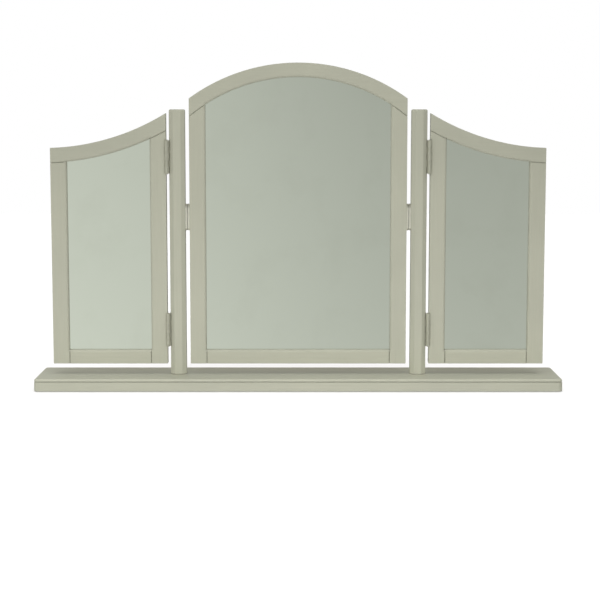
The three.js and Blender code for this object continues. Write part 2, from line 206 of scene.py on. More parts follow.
def sweep_edge(x, offset):
    return sweep_z - math.sqrt((SWEEP_RADIUS - offset) ** 2 - (x - sweep_x) ** 2)


# Meshes

RIGHT, LEFT, BACKWARDS, DOWN = (1, 0, 0), (-1, 0, 0), (0, 1, 0), (0, 0, -1)


def mesh_from(name, points, faces):
    mesh = bpy.data.meshes.new(name)
    mesh.from_pydata([tuple(p) for p in points], [], faces)
    mesh.update()
    return mesh


def outward(mesh):
    """Turns every face outwards."""
    shape = bmesh.new()
    shape.from_mesh(mesh)
    bmesh.ops.recalc_face_normals(shape, faces=shape.faces)
    shape.to_mesh(mesh)
    shape.free()
    return mesh


def lofted(loops):
    """A closed mesh through loops of equal length, the first and last of which are capped."""
    count = len(loops[0])
    faces = []
    for level in range(len(loops) - 1):
        for i in range(count):
            a = level * count + i
            b = level * count + (i + 1) % count
            faces.append((a, b, b + count, a + count))
    last = (len(loops) - 1) * count
    faces.append(tuple(reversed(range(count))))
    faces.append(tuple(range(last, last + count)))
    return outward(mesh_from("loft", [p for loop in loops for p in loop], faces))


def prism(outline, near, far):
    """An outline of X and Z points, filled between two depths."""
    return lofted([[(x, y, z) for x, z in outline] for y in (near, far)])


def block(x, y, z):
    outline = [(x[0], z[0]), (x[1], z[0]), (x[1], z[1]), (x[0], z[1])]
    return prism(outline, *y)


def ring(radius, height, sides):
    angles = [2 * math.pi * i / sides for i in range(sides)]
    return [(radius * math.cos(a), radius * math.sin(a), height) for a in angles]


def turned(profile, sides=ROUND_SIDES):
    """A profile of radius and height pairs turned about Z, with level ends."""
    return lofted([ring(radius, height, sides) for radius, height in profile])


def rod(radius, start, end, sides=ROUND_SIDES):
    return turned([(radius, start), (radius, end)], sides)


def filleted(points, radius, steps=3):
    """An outline with its corners rounded off."""
    rounded = []
    for i, corner in enumerate(points):
        here = Vector(corner)
        before = (Vector(points[i - 1]) - here).normalized()
        after = (Vector(points[(i + 1) % len(points)]) - here).normalized()
        half = before.angle(after) / 2
        centre = here + (before + after).normalized() * radius / math.sin(half)
        start = here + before * radius / math.tan(half) - centre
        end = here + after * radius / math.tan(half) - centre
        for step in range(steps + 1):
            rounded.append(tuple(centre + start.slerp(end, step / steps).normalized() * radius))
    return rounded


def rounded_rectangle(half_length, half_depth, radius):
    corners = [(half_length, half_depth), (-half_length, half_depth)]
    corners += [(-half_length, -half_depth), (half_length, -half_depth)]
    return filleted(corners, radius, CORNER_STEPS)


def moulded(outline_for, levels):
    """A block about Z that has at each level the outline for the level's inset."""
    return lofted([[(x, y, height) for x, y in outline_for(inset)] for height, inset in levels])


def quarter_round(top, radius, steps=CORNER_STEPS):
    """A quarter round that ends level: heights and insets from its foot to its top."""
    angles = [step / steps * math.pi / 2 for step in range(steps + 1)]
    return [(top - radius * (1 - math.sin(a)), radius * (1 - math.cos(a))) for a in angles]


def facing(x, y, z, outwards):
    """Turns +Z to face outwards and moves the origin to a place."""
    turn = Vector((0, 0, 1)).rotation_difference(Vector(outwards))
    return Matrix.Translation((x, y, z)) @ turn.to_matrix().to_4x4()


def moved(mesh, matrix):
    mesh.transform(matrix)
    return mesh


def evaluated(piece):
    bpy.context.view_layer.update()
    shown = piece.evaluated_get(bpy.context.evaluated_depsgraph_get())
    return bpy.data.meshes.new_from_object(shown)


def linked(mesh):
    piece = bpy.data.objects.new("step", mesh)
    bpy.context.scene.collection.objects.link(piece)
    return piece


def mended(mesh):
    """The mesh without the slivers and pinholes that cutting leaves."""
    shape = bmesh.new()
    shape.from_mesh(mesh)
    bmesh.ops.remove_doubles(shape, verts=shape.verts, dist=SLIVER)
    bmesh.ops.dissolve_degenerate(shape, edges=shape.edges, dist=SLIVER)
    bmesh.ops.holes_fill(shape, edges=[edge for edge in shape.edges if edge.is_boundary], sides=0)
    shape.to_mesh(mesh)
    shape.free()
    return mesh


def carved(bodies, cutters=()):
    """The meshes in bodies joined into one, less the meshes in cutters."""
    solid, *others = [linked(mesh) for mesh in (*bodies, *cutters)]
    for number, other in enumerate(others, start=1):
        step = solid.modifiers.new("step", "BOOLEAN")
        step.operation = "UNION" if number < len(bodies) else "DIFFERENCE"
        step.solver = "EXACT"
        step.object = other
    result = evaluated(solid)
    for helper in (solid, *others):
        bpy.data.objects.remove(helper)
    return mended(result)


def eased(mesh, is_eased, width, segments):
    """The mesh with those sharp outer edges bevelled for which is_eased(start, end) is true."""
    shape = bmesh.new()
    shape.from_mesh(mesh)
    bmesh.ops.remove_doubles(shape, verts=shape.verts, dist=SLIVER / 2)
    bmesh.ops.dissolve_limit(shape, angle_limit=FLAT_ANGLE, verts=shape.verts, edges=shape.edges)
    layers = shape.edges.layers.float
    weights = layers.get("bevel_weight_edge") or layers.new("bevel_weight_edge")
    for edge in shape.edges:
        sharp = edge.is_manifold and edge.is_convex and edge.calc_face_angle() > BEVEL_ANGLE
        edge[weights] = 1 if sharp and is_eased(edge.verts[0].co, edge.verts[1].co) else 0
    shape.to_mesh(mesh)
    shape.free()
    piece = linked(mesh)
    bevel = piece.modifiers.new("round", "BEVEL")
    bevel.limit_method = "WEIGHT"
    bevel.width = width
    bevel.segments = segments
    result = evaluated(piece)
    bpy.data.objects.remove(piece)
    return result


def placed(name, mesh, material, body, is_new=False):
    """A piece that rides with a body. It takes the place of the node with its name unless it is new."""
    for face in mesh.polygons:
        face.use_smooth = True
    mesh.set_sharp_from_angle(angle=SHADE_ANGLE)
    mesh.materials.clear()
    mesh.materials.append(material)
    piece = bpy.data.objects.new(name, mesh)
    bpy.context.scene.collection.objects.link(piece)
    level = piece.modifiers.new("normals", "WEIGHTED_NORMAL")
    level.keep_sharp = True
    level.weight = 100
    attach(piece, body)
    if not is_new:
        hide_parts(name)
    return piece


def both_sides(name, mesh, material, body, is_new=False):
    """A piece of the right side and its mirror image on the left. SIDE in the names is the side's word."""
    left = mesh.copy()
    left.transform(Matrix.Scale(-1, 4, (1, 0, 0)))
    left.flip_normals()
    for side, half in (("right", mesh), ("left", left)):
        own = name.replace("SIDE", side)
        placed(own, half, material, body.replace("SIDE", side), is_new)


# Screws: the surface that a screw goes into is at the origin, and the point lies towards -Z


def screw_hole(screw, placing):
    neck = screw["head"] - screw["shank"]
    profile = [
        (SCREW_ARRIS, -screw["length"] - JOINT_GAP),
        (screw["shank"] + JOINT_GAP, -screw["length"] + screw["point"]),
        (screw["shank"] + JOINT_GAP, -neck),
        (screw["head"] + JOINT_GAP, -SCREW_ARRIS / 2),
        (screw["head"] + JOINT_GAP, SPARE),
    ]
    return moved(turned(profile, SCREW_SIDES), placing)


def threaded(screw, start, end):
    """Rings from the point up to the end of the thread, whose ridge climbs round the shank."""
    pitch = screw["shank"] * THREAD_PITCH
    rows = math.ceil((end - start) / pitch * THREAD_STEPS)
    rings = []
    for row in range(rows + 1):
        height = start + (end - start) * row / rows
        crest = screw["shank"] * min(1, POINT_RADIUS + (height - start) / screw["point"])
        points = []
        for i in range(SCREW_SIDES):
            turn = i / SCREW_SIDES
            valley = abs(2 * ((height / pitch - turn) % 1) - 1)
            radius = crest * (1 - THREAD_DEPTH * valley)
            angle = 2 * math.pi * turn
            points.append((radius * math.cos(angle), radius * math.sin(angle), height))
        rings.append(points)
    return rings


def rectangle(x, y, height):
    return [(x, y, height), (-x, y, height), (-x, -y, height), (x, -y, height)]


def screw_body(screw):
    """A screw with a cross in its head, which is countersunk or, if it has a dome, a low pan."""
    dome = screw.get("dome", 0)
    neck = 0 if dome else screw["head"] - screw["shank"]
    profile = [(screw["shank"], -neck - 2 * SCREW_ARRIS), (screw["shank"], -neck)]
    if dome:
        profile += [(screw["head"] * width, dome * rise) for width, rise in DOME_PROFILE]
    else:
        profile += [(screw["head"], -SCREW_ARRIS), (screw["head"] - SCREW_ARRIS / 2, 0)]
    rings = threaded(screw, -screw["length"], -neck - 3 * SCREW_ARRIS)
    rings += [ring(radius, height, SCREW_SIDES) for radius, height in profile]
    reach, width, depth = (screw["head"] * share for share in (CROSS_REACH, CROSS_WIDTH, CROSS_DEPTH))
    cross = []
    for x, y in ((reach, width), (width, reach)):
        foot = rectangle(x * CROSS_FOOT[0], y * CROSS_FOOT[1], dome - depth)
        cross.append(lofted([foot, rectangle(x, y, dome + SPARE)]))
    return carved([lofted(rings)], cross)


def joined(meshes):
    """Separate bodies in one mesh."""
    shape = bmesh.new()
    for mesh in meshes:
        shape.from_mesh(mesh)
    result = bpy.data.meshes.new("several")
    shape.to_mesh(result)
    shape.free()
    return result


# Material nodes


def srgb(red, green, blue):
    """A colour given as it shows on screen, 0 to 255."""
    return tuple(((c / 255 + 0.055) / 1.055) ** 2.4 for c in (red, green, blue))


class Nodes:
    """The node tree of a material or a world, with short ways to add what several of them share."""

    def __init__(self, owner):
        owner.use_nodes = True
        self.owner = owner
        self.tree = owner.node_tree

    def add(self, kind, **settings):
        node = self.tree.nodes.new(kind)
        for key, value in settings.items():
            setattr(node, key, value)
        return node

    def feed(self, socket, value):
        """Sets a socket to a number, a colour or another node's output."""
        if isinstance(value, bpy.types.NodeSocket):
            self.tree.links.new(value, socket)
        elif isinstance(value, tuple) and socket.type == "RGBA":
            socket.default_value = (*value, 1)
        else:
            socket.default_value = value

    def ranged(self, value, from_low, from_high, to_low, to_high, smooth=False):
        node = self.add("ShaderNodeMapRange", interpolation_type="SMOOTHSTEP" if smooth else "LINEAR")
        inputs = (value, from_low, from_high, to_low, to_high)
        for socket, given in zip(("Value", "From Min", "From Max", "To Min", "To Max"), inputs):
            self.feed(node.inputs[socket], given)
        return node.outputs["Result"]

    def math(self, operation, first, second):
        node = self.add("ShaderNodeMath", operation=operation)
        self.feed(node.inputs[0], first)
        self.feed(node.inputs[1], second)
        return node.outputs["Value"]

    def dot(self, first, second):
        node = self.add("ShaderNodeVectorMath", operation="DOT_PRODUCT")
        self.feed(node.inputs[0], first)
        self.feed(node.inputs[1], second)
        return node.outputs["Value"]

    def background(self, colour, strength):
        node = self.add("ShaderNodeBackground")
        self.feed(node.inputs["Color"], colour)
        self.feed(node.inputs["Strength"], strength)
        return node.outputs[0]


class Surface(Nodes):
    """A material whose pattern is laid out by the place on the piece."""

    def __init__(self, name):
        super().__init__(bpy.data.materials.new(name))
        self.shader = self.tree.nodes["Principled BSDF"]
        self.place = self.add("ShaderNodeTexCoord").outputs["Object"]

    def stretched(self, scale):
        """The place on the piece, scaled along X, Y and Z."""
        node = self.add("ShaderNodeMapping")
        self.feed(node.inputs["Scale"], scale)
        self.feed(node.inputs["Vector"], self.place)
        return node.outputs["Vector"]

    def noise(self, scale, vector=None, detail=4.0, roughness=0.55):
        node = self.add("ShaderNodeTexNoise")
        self.feed(node.inputs["Scale"], scale)
        self.feed(node.inputs["Detail"], detail)
        self.feed(node.inputs["Roughness"], roughness)
        self.feed(node.inputs["Vector"], vector or self.place)
        return node.outputs["Fac"]

    def mixed(self, factor, first, second):
        """The first colour where the factor is 0 and the second where it is 1."""
        node = self.add("ShaderNodeMix", data_type="RGBA")
        self.feed(node.inputs["Factor"], factor)
        self.feed(node.inputs[6], first)
        self.feed(node.inputs[7], second)
        return node.outputs[2]

    def tinted(self, colour, mask, share, tint):
        """The colour with a share of the tint where the mask is 1."""
        return self.mixed(self.math("MULTIPLY", mask, share), colour, tint)

    def bump(self, height, strength, distance, below=None):
        node = self.add("ShaderNodeBump")
        self.feed(node.inputs["Strength"], strength)
        self.feed(node.inputs["Distance"], distance)
        self.feed(node.inputs["Height"], height)
        if below:
            self.feed(node.inputs["Normal"], below)
        return node.outputs["Normal"]

    def corners(self, radius):
        """1 on worn outer edges and 0 on the flats."""
        rounded = self.add("ShaderNodeBevel", samples=4)
        self.feed(rounded.inputs["Radius"], radius)
        plain = self.add("ShaderNodeNewGeometry").outputs["Normal"]
        return self.ranged(self.dot(rounded.outputs["Normal"], plain), 0.995, 0.9, 0, 1)

    def crevices(self, distance, shallow=0.75, deep=0.25):
        """1 in narrow gaps and inner corners, 0 in the open, from ambient occlusion: the mask for painted
        shade.
        """
        node = self.add("ShaderNodeAmbientOcclusion", samples=8)
        self.feed(node.inputs["Distance"], distance)
        return self.ranged(node.outputs["AO"], shallow, deep, 0, 1)

    def upwards(self):
        """1 on a surface that faces up, 0 on an upright one and -1 on one that faces down."""
        parts = self.add("ShaderNodeSeparateXYZ")
        self.feed(parts.inputs[0], self.add("ShaderNodeNewGeometry").outputs["Normal"])
        return parts.outputs["Z"]

    def finish(self, colour, roughness, normal):
        self.feed(self.shader.inputs["Base Color"], colour)
        self.feed(self.shader.inputs["Roughness"], roughness)
        self.feed(self.shader.inputs["Normal"], normal)
        return self.owner


def sage_paint(name, grain):
    """Satin paint brushed along the wood. The grain scales the strokes along X, Y and Z."""
    s = Surface(name)
    cloud = s.ranged(s.noise(7, detail=3), 0.35, 0.65, 0, 1)
    colour = s.mixed(cloud, srgb(176, 176, 159), srgb(181, 181, 163))
    strokes = s.noise(1, s.stretched(grain), detail=5, roughness=0.6)
    colour = s.mixed(s.ranged(strokes, 0.3, 0.75, 0, 0.5), colour, srgb(169, 170, 152))
    colour = s.tinted(colour, s.corners(0.0012), 0.2, srgb(190, 190, 173))
    # Painted shade: darker in recesses and inner corners, from an occlusion mask
    colour = s.tinted(colour, s.crevices(0.006), 0.15, srgb(124, 124, 108))
    # Painted shade darkens the narrow gaps and joint lines, less where they face up towards the light
    # above
    painted_gap_shade = s.ranged(s.upwards(), 0.1, 0.6, 0.6, 0.1)
    colour = s.tinted(colour, s.crevices(0.0014, 0.95, 0.6), painted_gap_shade, srgb(72, 72, 59))
    peel = s.noise(1400, detail=2)
    roughness = s.ranged(s.math("ADD", strokes, peel), 0.6, 1.4, 0.36, 0.52)
    normal = s.bump(strokes, 0.4, 0.0002)
    return s.finish(colour, roughness, s.bump(peel, 0.25, 0.00005, normal))


def silvered_glass():
    """Float glass silvered on its back: a clear mirror with a slight green cast and a trace of haze."""
    s = Surface("silvered_glass")
    haze = s.ranged(s.noise(9, detail=5), 0.5, 0.75, 0, 1)
    colour = s.mixed(haze, srgb(240, 245, 236), srgb(236, 241, 231))
    wipes = s.noise(1, s.stretched((60, 60, 9)), detail=4)
    roughness = s.ranged(s.math("MULTIPLY", haze, wipes), 0.1, 0.5, 0.012, 0.03)
    s.shader.inputs["Metallic"].default_value = 1
    s.shader.inputs["Coat Weight"].default_value = 0.3
    s.shader.inputs["Coat Roughness"].default_value = 0.01
    return s.finish(colour, roughness, s.bump(s.noise(3, detail=1), 0.002, 0.0003))


def satin_nickel(name, dull, bright):
    """Plated metal, brushed fine, brighter where it is rubbed, and with painted shade in its corners."""
    s = Surface(name)
    cloud = s.noise(160, detail=3)
    colour = s.mixed(s.ranged(cloud, 0.35, 0.65, 0, 1), dull, bright)
    colour = s.tinted(colour, s.corners(0.0003), 0.4, srgb(240, 238, 226))
    # Painted shade in corners and narrow gaps, from an occlusion mask
    colour = s.tinted(colour, s.crevices(0.002), 0.3, srgb(128, 126, 114))
    brush = s.noise(1, s.stretched((2500, 2500, 260)), detail=3)
    s.shader.inputs["Metallic"].default_value = 0.8
    return s.finish(colour, s.ranged(brush, 0.25, 0.75, 0.38, 0.52), s.bump(brush, 0.2, 0.00002))


def plain_steel():
    """Zinc plate, with the fine crystal pattern that it dries to."""
    s = Surface("plain_steel")
    crystals = s.add("ShaderNodeTexVoronoi")
    s.feed(crystals.inputs["Scale"], 1400.0)
    s.feed(crystals.inputs["Vector"], s.place)
    spread = s.ranged(crystals.outputs["Distance"], 0, 0.8, 0, 1)
    colour = s.mixed(spread, srgb(176, 177, 178), srgb(196, 196, 193))
    # Painted shade in the head's cross and other hollows, from an occlusion mask
    colour = s.tinted(colour, s.crevices(0.001), 0.6, srgb(96, 95, 92))
    s.shader.inputs["Metallic"].default_value = 1
    return s.finish(colour, s.ranged(spread, 0, 1, 0.3, 0.46), s.bump(spread, 0.15, 0.00003))


def nylon():
    """Moulded plastic, off white, with a faint mould texture."""
    s = Surface("nylon")
    cloud = s.noise(300, detail=3)
    colour = s.mixed(cloud, srgb(214, 211, 200), srgb(222, 219, 209))
    s.shader.inputs["Subsurface Weight"].default_value = 0.15
    s.shader.inputs["Subsurface Scale"].default_value = 0.001
    texture = s.bump(s.noise(4000, detail=2), 0.2, 0.00003)
    return s.finish(colour, s.ranged(cloud, 0.3, 0.7, 0.4, 0.55), texture)


def felt():
    """Pressed felt, a tangle of short fibres of several greys."""
    s = Surface("felt")
    fibres = s.noise(1, s.stretched((2600, 1700, 2100)), detail=6, roughness=0.7)
    flecks = s.noise(900, detail=3)
    colour = s.mixed(s.ranged(fibres, 0.3, 0.7, 0, 1), srgb(48, 46, 43), srgb(84, 81, 76))
    colour = s.mixed(s.ranged(flecks, 0.6, 0.7, 0, 0.5), colour, srgb(120, 116, 108))
    s.shader.inputs["Sheen Weight"].default_value = 0.4
    s.shader.inputs["Sheen Roughness"].default_value = 0.5
    return s.finish(colour, s.ranged(flecks, 0.3, 0.7, 0.85, 0.98), s.bump(fibres, 0.7, 0.0003))


def back_board():
    """Bare hardboard with its rough side out: pressed fibres and the fine print of the press screen."""
    s = Surface("back_board")
    fibres = s.noise(1, s.stretched((420, 420, 260)), detail=6, roughness=0.65)
    cloud = s.ranged(s.noise(14, detail=3), 0.35, 0.65, 0, 1)
    colour = s.mixed(cloud, srgb(128, 98, 69), srgb(143, 112, 80))
    colour = s.mixed(s.ranged(fibres, 0.45, 0.75, 0, 0.7), colour, srgb(168, 138, 104))
    colour = s.mixed(s.ranged(s.noise(520, detail=2), 0.62, 0.72, 0, 0.6), colour, srgb(92, 66, 44))
    threads = []
    for direction in ("X", "Z"):
        wave = s.add("ShaderNodeTexWave", bands_direction=direction)
        s.feed(wave.inputs["Scale"], 260.0)
        s.feed(wave.inputs["Distortion"], 0.6)
        s.feed(wave.inputs["Vector"], s.place)
        threads.append(wave.outputs["Fac"])
    normal = s.bump(s.math("MULTIPLY", *threads), 0.35, 0.0002)
    return s.finish(colour, s.ranged(fibres, 0.3, 0.7, 0.7, 0.88), s.bump(fibres, 0.3, 0.0002, normal))


upright_paint = sage_paint("sage_paint_upright", (420, 420, 14))
level_paint = sage_paint("sage_paint_level", (14, 420, 420))
silvering = silvered_glass()
nickel = satin_nickel("satin_nickel", srgb(232, 230, 217), srgb(239, 237, 224))
hinge_nickel = satin_nickel("hinge_nickel", srgb(200, 199, 184), srgb(210, 209, 194))
steel = plain_steel()
plastic = nylon()
pad_felt = felt()
hardboard = back_board()

# Mirror frames


def along_edge(edge, start, end, offset, steps=0):
    steps = steps or max(2, math.ceil(abs(end - start) / CURVE_STEP))
    xs = [start + (end - start) * step / steps for step in range(steps + 1)]
    return [(x, edge(x, offset)) for x in xs]


def under(edge, x0, x1, bottom, offset, steps=0):
    """The outline from x0 to x1 that starts at a level bottom and ends at the edge curve."""
    return [(x0, bottom), (x1, bottom), *along_edge(edge, x1, x0, offset, steps)]


def between(edge, x0, x1, lower, upper):
    """The outline from x0 to x1 between two offsets of the edge curve."""
    return [*along_edge(edge, x0, x1, lower), *along_edge(edge, x1, x0, upper)]


class MirrorFrame:
    """The four members of a frame, whose stiles stop under a top rail that follows a curve."""

    def __init__(self, edge, x0, x1, rail):
        self.edge, self.rail = edge, rail
        self.x0, self.x1 = x0, x1
        self.left = x0 + STILE_WIDTH
        self.right = x1 - STILE_WIDTH
        lip = glass_front - front
        tenon_middle = front + lip / 2
        self.tenon_near = tenon_middle - lip * TENON_SHARE / 2
        self.tenon_far = tenon_middle + lip * TENON_SHARE / 2

    def opening(self, margin):
        """The outline of the sight opening widened by a margin."""
        steps = round((self.right - self.left) / CURVE_STEP)
        sides = (self.left - margin, self.right + margin)
        return under(self.edge, *sides, sight_bottom - margin, margin - self.rail, steps)

    def cutters(self):
        """The round along the front of the lip, and the steps behind it for the glass and the panel."""
        short = 0.00005
        levels = [(front - SPARE, SIGHT_ROUND)]
        levels += [(front + inset, -height - short) for height, inset in quarter_round(0, SIGHT_ROUND)]
        moulding = lofted([[(x, y, z) for x, z in self.opening(margin)] for y, margin in levels])
        glass_step = prism(self.opening(GLASS_REBATE), glass_front, back + SPARE)
        panel_step = prism(self.opening(PANEL_REBATE), panel_front, back + SPARE)
        return [moulding, glass_step, panel_step]

    def stile_tenon(self, start, end, gap):
        sides = (start + TENON_SHOULDER - gap, end - TENON_SHOULDER + gap)
        outline = under(self.edge, *sides, sight_bottom + TENON_LENGTH, TENON_LENGTH - self.rail + gap)
        return prism(outline, self.tenon_near - gap, self.tenon_far + gap)

    def rail_tenons(self, gap):
        x = (self.left - TENON_LENGTH - gap, self.right + TENON_LENGTH + gap)
        y = (self.tenon_near - gap, self.tenon_far + gap)
        z = (frame_bottom + TENON_SHOULDER - gap, sight_bottom - TENON_SHOULDER + gap)
        return block(x, y, z)

    def at_joint(self, start, end):
        """Whether an edge lies on the front along the line where two members meet."""
        middle = (start + end) / 2
        reach = 2 * JOINT_CHAMFER
        by_stile = min(abs(middle.x - self.left), abs(middle.x - self.right)) < reach
        by_rail = abs(middle.z - self.edge(middle.x, -self.rail)) < reach
        on_front = max(start.y, end.y) < front + TINY
        return on_front and (by_rail or by_stile and middle.z < sight_bottom)

    def member(self, outline, tenons=(), mortises=(), holes=()):
        def is_outer(a, b):
            on_face = max(a.y, b.y) < front + TINY or min(a.y, b.y) > back - TINY
            is_deep = abs(a.y - b.y) > (back - front) * 0.8
            return (on_face or is_deep) and not self.at_joint(a, b)

        wood = eased(prism(outline, front, back), self.at_joint, JOINT_CHAMFER, 1)
        wood = eased(wood, is_outer, EDGE_ROUND, ROUND_SEGMENTS)
        return carved([wood, *tenons], [*self.cutters(), *mortises, *holes])

    def stile(self, start, end, holes=()):
        outline = under(self.edge, start, end, frame_bottom, -self.rail - JOINT_GAP)
        tenon = self.stile_tenon(start, end, 0)
        return self.member(outline, [tenon], [self.rail_tenons(JOINT_GAP)], holes)

    def left_stile(self, holes=()):
        return self.stile(self.x0, self.left, holes)

    def right_stile(self, holes=()):
        return self.stile(self.right, self.x1, holes)

    def top_rail(self):
        stiles = ((self.x0, self.left), (self.right, self.x1))
        mortises = [self.stile_tenon(*ends, JOINT_GAP) for ends in stiles]
        return self.member(between(self.edge, self.x0, self.x1, -self.rail, 0), (), mortises)

    def bottom_rail(self):
        x = (self.left + JOINT_GAP, self.right - JOINT_GAP)
        outline = [(x[0], frame_bottom), (x[1], frame_bottom), (x[1], sight_bottom), (x[0], sight_bottom)]
        return self.member(outline, [self.rail_tenons(0)])

    def panel_screws(self):
        """Screws through the back panel into the lip, spaced round the opening."""
        reach = PANEL_SCREW_INSET
        x = (self.left - reach, self.right + reach)
        top = [self.edge(end, reach - self.rail) for end in x]
        places = []
        for end, upper in zip(x, top):
            side = upper - sight_bottom
            count = math.ceil(side / PANEL_SCREW_PITCH)
            # The first and the last screw keep the same distance from their corners
            places += [(end, sight_bottom + side * (step + 0.35) / (count - 0.3)) for step in range(count)]
        count = math.ceil((x[1] - x[0]) / PANEL_SCREW_PITCH)
        for step in range(count):
            across = x[0] + (x[1] - x[0]) * (step + 0.5) / count
            places.append((across, sight_bottom - reach))
            places.append((across, self.edge(across, reach - self.rail)))
        placings = [facing(px, panel_back, pz, BACKWARDS) for px, pz in places]
        return joined([moved(screw_body(PANEL_SCREW), placing) for placing in placings])


# What the swivels and the hinges take out of the wood


def along_pivot(mesh):
    """Turns a shape from the Z axis to the axis on which the centre mirror tilts."""
    return moved(mesh, facing(0, 0, pivot_z, RIGHT))


def frame_swivel_cuts():
    bore = along_pivot(rod(pivot_radius + JOINT_GAP, pin_low.x - JOINT_GAP, centre_half + SPARE))
    places = [facing(frame_plate_face, 0, z, RIGHT) for z in plate_screw_places.values()]
    return [bore, *[screw_hole(PLATE_SCREW, placing) for placing in places]]


def post_swivel_cuts():
    bore = along_pivot(rod(pivot_radius + RUNNING_GAP, post_inner - SPARE, pin_high.x + RUNNING_GAP))
    places = [facing(post_plate_face, 0, z, LEFT) for z in plate_screw_places.values()]
    return [bore, *[screw_hole(PLATE_SCREW, placing) for placing in places]]


def leaf_screw_placings(x, z, outwards):
    """Places of a leaf's three screws, whose heads lie in the face at x, about the hinge's middle at z."""
    middle = leaf_start + LEAF_DEPTH / 2
    stagger = LEAF_SCREW_STAGGER / 2
    rows = ((-1, -stagger), (0, stagger), (1, -stagger))
    return [facing(x, middle + shift, z + row * LEAF_SCREW_PITCH, outwards) for row, shift in rows]


def post_hinge_cuts(z):
    return [screw_hole(LEAF_SCREW, placing) for placing in leaf_screw_placings(post_leaf_face, z, RIGHT)]


def wing_hinge_cuts(z):
    reach = hinge_half + RUNNING_GAP
    x = (wing_inner - SPARE, recess_floor)
    recess = block(x, (front - SPARE, leaf_end + JOINT_GAP), (z - reach, z + reach))
    placings = leaf_screw_placings(wing_leaf_face, z, LEFT)
    return [recess, *[screw_hole(LEAF_SCREW, placing) for placing in placings]]


# Frames, base board, posts and pads

centre = MirrorFrame(arch_edge, -centre_half, centre_half, ARCH_RAIL_WIDTH)
placed("centre_arch_rail", centre.top_rail(), level_paint, "centre_mirror")
placed("centre_bottom_rail", centre.bottom_rail(), level_paint, "centre_mirror")
centre_stile = centre.right_stile(frame_swivel_cuts())
both_sides("centre_SIDE_stile", centre_stile, upright_paint, "centre_mirror")
centre_screws = centre.panel_screws()
placed("centre_back_panel_screws", centre_screws, steel, "centre_mirror", is_new=True)

wing = MirrorFrame(sweep_edge, wing_inner, wing_outer, WING_RAIL_WIDTH)
wing_cuts = [cut for z in hinge_middles.values() for cut in wing_hinge_cuts(z)]
both_sides("SIDE_wing_top_rail", wing.top_rail(), level_paint, "SIDE_wing")
both_sides("SIDE_wing_bottom_rail", wing.bottom_rail(), level_paint, "SIDE_wing")
both_sides("SIDE_wing_inner_stile", wing.left_stile(wing_cuts), upright_paint, "SIDE_wing")
both_sides("SIDE_wing_outer_stile", wing.right_stile(), upright_paint, "SIDE_wing")
wing_screws = wing.panel_screws()
both_sides("SIDE_wing_back_panel_screws", wing_screws, steel, "SIDE_wing", is_new=True)


def base_board():
    lowest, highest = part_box("base_board")
    under_nose = highest.z - NOSE_DROP
    groove = under_nose - GROOVE_HEIGHT
    lip = (NOSE_DROP - NOSE_RADIUS) / 2
    levels = [
        (lowest.z, BASE_CHAMFER),
        (lowest.z + BASE_CHAMFER, 0),
        (groove - GROOVE_ARRIS, 0),
        (groove, GROOVE_ARRIS),
        (groove, GROOVE_DEPTH),
        (under_nose, GROOVE_DEPTH),
        (under_nose, lip + GROOVE_ARRIS),
        (under_nose + GROOVE_ARRIS, lip),
        *quarter_round(highest.z, NOSE_RADIUS),
    ]

    def outline(inset):
        return rounded_rectangle(highest.x - inset, highest.y - inset, BASE_CORNER - inset)

    places = [(x, y) for x in (-post_middle, post_middle) for y in post_screw_places.values()]
    holes = [screw_hole(POST_SCREW, facing(x, y, lowest.z, DOWN)) for x, y in places]
    return carved([moulded(outline, levels)], holes)


def post():
    lowest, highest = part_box("right_post")
    half = (post_outer - post_inner) / 2
    levels = [(lowest.z, EDGE_ROUND / 2), (lowest.z + EDGE_ROUND / 2, 0)]
    levels += quarter_round(highest.z, POST_TOP_ROUND)

    def outline(inset):
        length, depth = half - inset, highest.y - inset
        x, y = length - POST_CHAMFER_WIDTH, depth - POST_CHAMFER_DEPTH
        corners = [(length, y), (x, depth), (-x, depth), (-length, y)]
        corners += [(-length, -y), (-x, -depth), (x, -depth), (length, -y)]
        return filleted(corners, POST_ARRIS)

    body = moved(moulded(outline, levels), Matrix.Translation((post_middle, 0, 0)))
    from_below = [facing(post_middle, y, low("base_board").z, DOWN) for y in post_screw_places.values()]
    holes = [screw_hole(POST_SCREW, placing) for placing in from_below]
    holes += [cut for z in hinge_middles.values() for cut in post_hinge_cuts(z)]
    return carved([body], [*post_swivel_cuts(), *holes])


placed("base_board", base_board(), level_paint, "stand")
both_sides("SIDE_post", post(), upright_paint, "stand")
for row, y in post_screw_places.items():
    screw = moved(screw_body(POST_SCREW), facing(post_middle, y, low("base_board").z, DOWN))
    both_sides(f"SIDE_post_screw_{row}", screw, steel, "stand")


def pad(name):
    lowest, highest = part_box(name)
    radius = (highest.x - lowest.x) / 2
    edge = [(radius - inset, height) for height, inset in quarter_round(highest.z, PAD_ROUND, 3)]
    disc = turned([(radius - PAD_ROUND, lowest.z), (radius, PAD_ROUND), *edge])
    return moved(disc, Matrix.Translation(((lowest.x + highest.x) / 2, (lowest.y + highest.y) / 2, 0)))


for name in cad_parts:
    if name.startswith("pad_"):
        placed(name, pad(name), pad_felt, "stand")

# Swivels


def swivel_plate(node, face_x, outwards):
    """An obround plate with its face, and its rounded edge, at face_x."""
    lowest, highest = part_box(node)
    thickness = highest.x - lowest.x
    half_length = (highest.z - lowest.z) / 2
    half_width = highest.y

    def outline(inset):
        width = half_width - inset
        return rounded_rectangle(half_length - inset, width, width - TINY)

    levels = [(-thickness, 0), *quarter_round(0, PLATE_ROUND, 3)]
    upright = Matrix.Rotation(outwards * math.pi / 2, 4, "Y")
    plate = moved(moulded(outline, levels), Matrix.Translation((face_x, 0, pivot_z)) @ upright)
    bore = along_pivot(rod(pivot_radius + RUNNING_GAP, lowest.x - SPARE, highest.x + SPARE))
    side = RIGHT if outwards > 0 else LEFT
    placings = [facing(face_x, 0, z, side) for z in plate_screw_places.values()]
    return carved([plate], [bore, *[screw_hole(PLATE_SCREW, placing) for placing in placings]])


